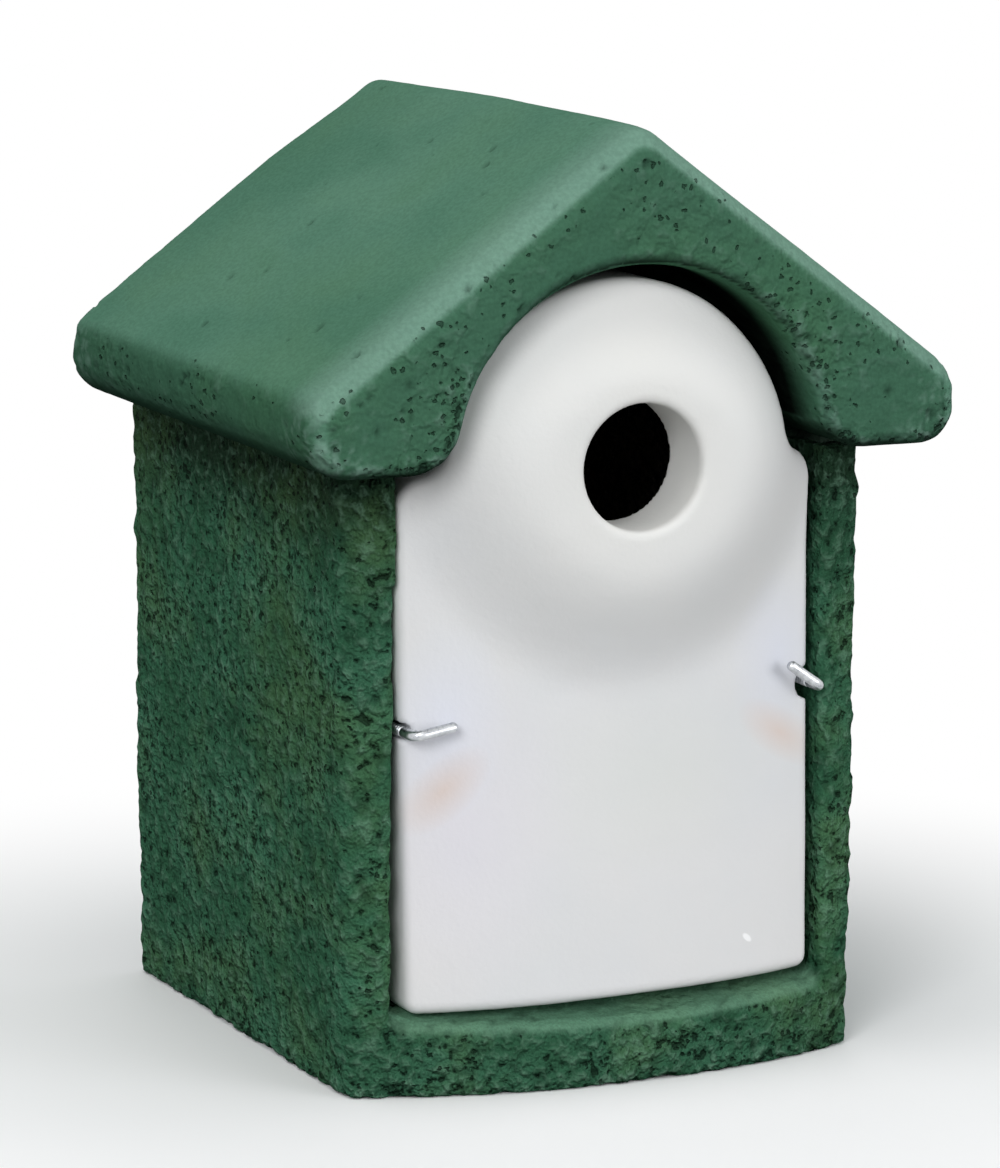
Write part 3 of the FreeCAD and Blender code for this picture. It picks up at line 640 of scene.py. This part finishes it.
roofCast = {
    "node": "roof_casting", "name": "roofCastingSkin", "body": "box", "slot": "green_roof",
    "material": greenCoat("greenSmoothWoodConcrete", roofCoatLook),
    "voxel": 1.12, "edgeSpread": 2, "edgeGain": 10.0,
    "waveSize": 60, "waveDepth": 0.5, "lumpSize": 9, "lumpDepth": 1.0, "grainSize": 3.8, "grainDepth": 0.6,
    "patchSize": 26, "holeSpacing": 5.0, "holeRadius": 1.7, "holeDepth": 1.2, "holeShare": 1.5,
    "leastOpen": 0.06, "chipSize": 4.5, "chipDepth": 1.2, "grainShade": 0.0, "softened": [],
    "proud": 0.5, "calm": roofCalm, "openness": roofOpenness, "bareInsideAndShade": roofArchAndUndersideShade, "paintedShade": roofPaintedShade,
    "highlightAndScuff": rakeHighlightAndScuffs, "chips": roofChips, "sag": roofSag,
}

plateRelief = (0.3, 4)  # mm in front of the seat over which the plate's relief comes in


def plateCalm(spot, normal):
    return fadeUp(seat - spot.y, *plateRelief)


plateCast = {
    "node": "front_plate", "name": "frontPlateSkin", "body": "front", "slot": "grey_plate",
    "material": paleCoat(paleCoatLook), "voxel": 0.95, "edgeSpread": 1, "edgeGain": 4.0,
    "waveSize": 45, "waveDepth": 0.3, "lumpSize": 12, "lumpDepth": 0.06, "grainSize": 3, "grainDepth": 0.02,
    "patchSize": 30, "holeSpacing": 14, "holeRadius": 1.3, "holeDepth": 0.4, "holeShare": 0.04,
    "leastOpen": 0.0, "chipSize": 3, "chipDepth": 0.0, "grainShade": 0.0, "softened": [],
    "proud": 0.35, "calm": plateCalm, "openness": everywhere, "bareInsideAndShade": nowhere, "paintedShade": nowhere,
    "highlightAndScuff": nowhere, "chips": everywhere, "sag": nowhere,
}

for cast in (bodyCast, roofCast, plateCast):
    finishSkin(cast)

# The fittings and the mortar keep their CAD shapes
fittings = [
    (mortarJoint(mortarLook), ["roof_mortar_bed"]),
    (nylonPlug(nylonLook), ["left_hook_plug", "right_hook_plug", "hanger_screw_plugs"]),
    (zincPlate(zincLook), ["left_hook", "right_hook", "hanger_plate", "hanger_screws"]),
]
for material, nodes in fittings:
    for node in nodes:
        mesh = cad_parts[node].data
        mesh.materials.clear()
        mesh.materials.append(material)
print("castings and fittings dressed")

# Stage in metres: pale floor, white background, soft light from above, from the front and from behind
stageLook = {
    "floorWide": 8.0, "floorSeen": "#f4f4f3", "floorBounce": 0.25, "fadeStart": 0.13, "fadeEnd": 0.32,
    "ambientLow": 0.34, "ambientHigh": 0.75, "ambientColour": "#f2f5f8",
}


# 1 for rays from the camera and for those that metal and glass send on, which see the white background
def seenRays(tree):
    path = add(tree, "LightPath")
    seen = path.outputs["Is Camera Ray"]
    for ray in ("Is Glossy Ray", "Is Transmission Ray"):
        seen = add(tree, "Math", {"operation": "MAXIMUM"}, {0: seen, 1: path.outputs[ray]}).outputs[0]
    return seen


def buildFloor(look):
    mesh = bpy.data.meshes.new("floor")
    bm = bmesh.new()
    bmesh.ops.create_grid(bm, x_segments=1, y_segments=1, size=look["floorWide"] / 2)
    bm.to_mesh(mesh)
    bm.free()
    floor = bpy.data.objects.new("floor", mesh)
    bpy.context.collection.objects.link(floor)
    material, tree = newMaterial("paleFloor")
    seen = seenRays(tree)
    tint = add(tree, "Mix", {"data_type": "RGBA", 6: [look["floorBounce"]] * 3 + [1.0],
                             7: hexLinear(look["floorSeen"])}, {0: seen}).outputs[2]
    matt = add(tree, "BsdfDiffuse", None, {"Color": tint}).outputs["BSDF"]
    white = add(tree, "Emission", {"Strength": 1.0}).outputs["Emission"]
    place = add(tree, "TexCoord").outputs["Object"]
    away = add(tree, "VectorMath", {"operation": "LENGTH"}, {0: place}).outputs["Value"]
    far = add(tree, "MapRange", {"span": (look["fadeStart"], look["fadeEnd"]),
                                 "interpolation_type": "SMOOTHSTEP"}, {"Value": away}).outputs["Result"]
    share = add(tree, "Math", {"operation": "MULTIPLY"}, {0: far, 1: seen}).outputs[0]
    both = add(tree, "MixShader", None, {0: share, 1: matt, 2: white}).outputs["Shader"]
    add(tree, "OutputMaterial", None, {"Surface": both})
    mesh.materials.append(material)


def buildWorld(look):
    world = bpy.data.worlds.new("studio")
    world.use_nodes = True
    tree = world.node_tree
    tree.nodes.clear()
    way = add(tree, "TexCoord").outputs["Generated"]
    height = add(tree, "SeparateXYZ", None, {"Vector": way}).outputs["Z"]
    level = add(tree, "MapRange", {"gives": (look["ambientLow"], look["ambientHigh"])},
                {"Value": height}).outputs["Result"]
    dim = add(tree, "Background", {"Color": hexLinear(look["ambientColour"])}, {"Strength": level})
    white = add(tree, "Background", {"Color": (1, 1, 1, 1), "Strength": 1.0})
    both = add(tree, "MixShader", None,
               {0: seenRays(tree), 1: dim.outputs[0], 2: white.outputs[0]}).outputs["Shader"]
    add(tree, "OutputWorld", None, {"Surface": both})
    bpy.context.scene.world = world


lightAim = Vector((0, 0, 0.12))
softLights = [
    {"name": "overhead", "at": (-0.4, -0.35, 1.9), "wide": 1.0, "share": 0.18, "colour": "#fffdf8"},
    {"name": "frontLeft", "at": (-1.3, -1.6, 1.05), "wide": 1.0, "share": 0.46, "colour": "#fbfcff"},
    {"name": "frontRight", "at": (1.3, -1.9, 0.45), "wide": 1.6, "share": 0.43, "colour": "#fbfcff"},
    {"name": "behind", "at": (0.7, 2.1, 0.3), "wide": 1.2, "share": 0.2, "colour": "#fbfcff"},
]


def buildLight(soft):
    data = bpy.data.lights.new(soft["name"], "AREA")
    data.shape = "DISK"
    data.size = soft["wide"]
    data.color = hexLinear(soft["colour"])[:3]
    spot = Vector(soft["at"])
    # share 1 renders a facing colour as written
    data.energy = soft["share"] * (math.pi * (spot - lightAim).length) ** 2
    light = bpy.data.objects.new(soft["name"], data)
    light.location = spot
    light.rotation_mode = "QUATERNION"
    light.rotation_quaternion = (lightAim - spot).to_track_quat("-Z", "Y")
    bpy.context.collection.objects.link(light)


# Camera: placed by fitting the box's edges in the photograph, angles in degrees
cameraLook = {
    "azimuth": 24.1, "elevation": 10.0, "roll": 0.19, "distance": 1.490,
    "target": (-0.0021, -0.00275, 0.1171), "focalPixels": 5687, "longSide": 1168, "sensor": 36.0,
    "nearest": 0.05, "farthest": 50,
}


def buildCamera(look):
    azimuth, elevation, roll = [math.radians(look[name]) for name in ("azimuth", "elevation", "roll")]
    back = Vector((-math.sin(azimuth) * math.cos(elevation), -math.cos(azimuth) * math.cos(elevation),
                   math.sin(elevation)))
    across = Vector((0, 0, 1)).cross(back).normalized()
    upward = back.cross(across)
    right = across * math.cos(roll) + upward * math.sin(roll)
    upward = upward * math.cos(roll) - across * math.sin(roll)
    data = bpy.data.cameras.new("camera")
    data.sensor_width = look["sensor"]
    data.lens = look["focalPixels"] / look["longSide"] * look["sensor"]
    data.clip_start = look["nearest"]
    data.clip_end = look["farthest"]
    camera = bpy.data.objects.new("camera", data)
    turn = Matrix((right, upward, back)).transposed().to_4x4()
    camera.matrix_world = Matrix.Translation(Vector(look["target"]) + back * look["distance"]) @ turn
    bpy.context.collection.objects.link(camera)
    bpy.context.scene.camera = camera


buildFloor(stageLook)
buildWorld(stageLook)
for soft in softLights:
    buildLight(soft)
buildCamera(cameraLook)
bpy.context.scene.view_settings.view_transform = "Standard"
print("stage, lights and camera set")
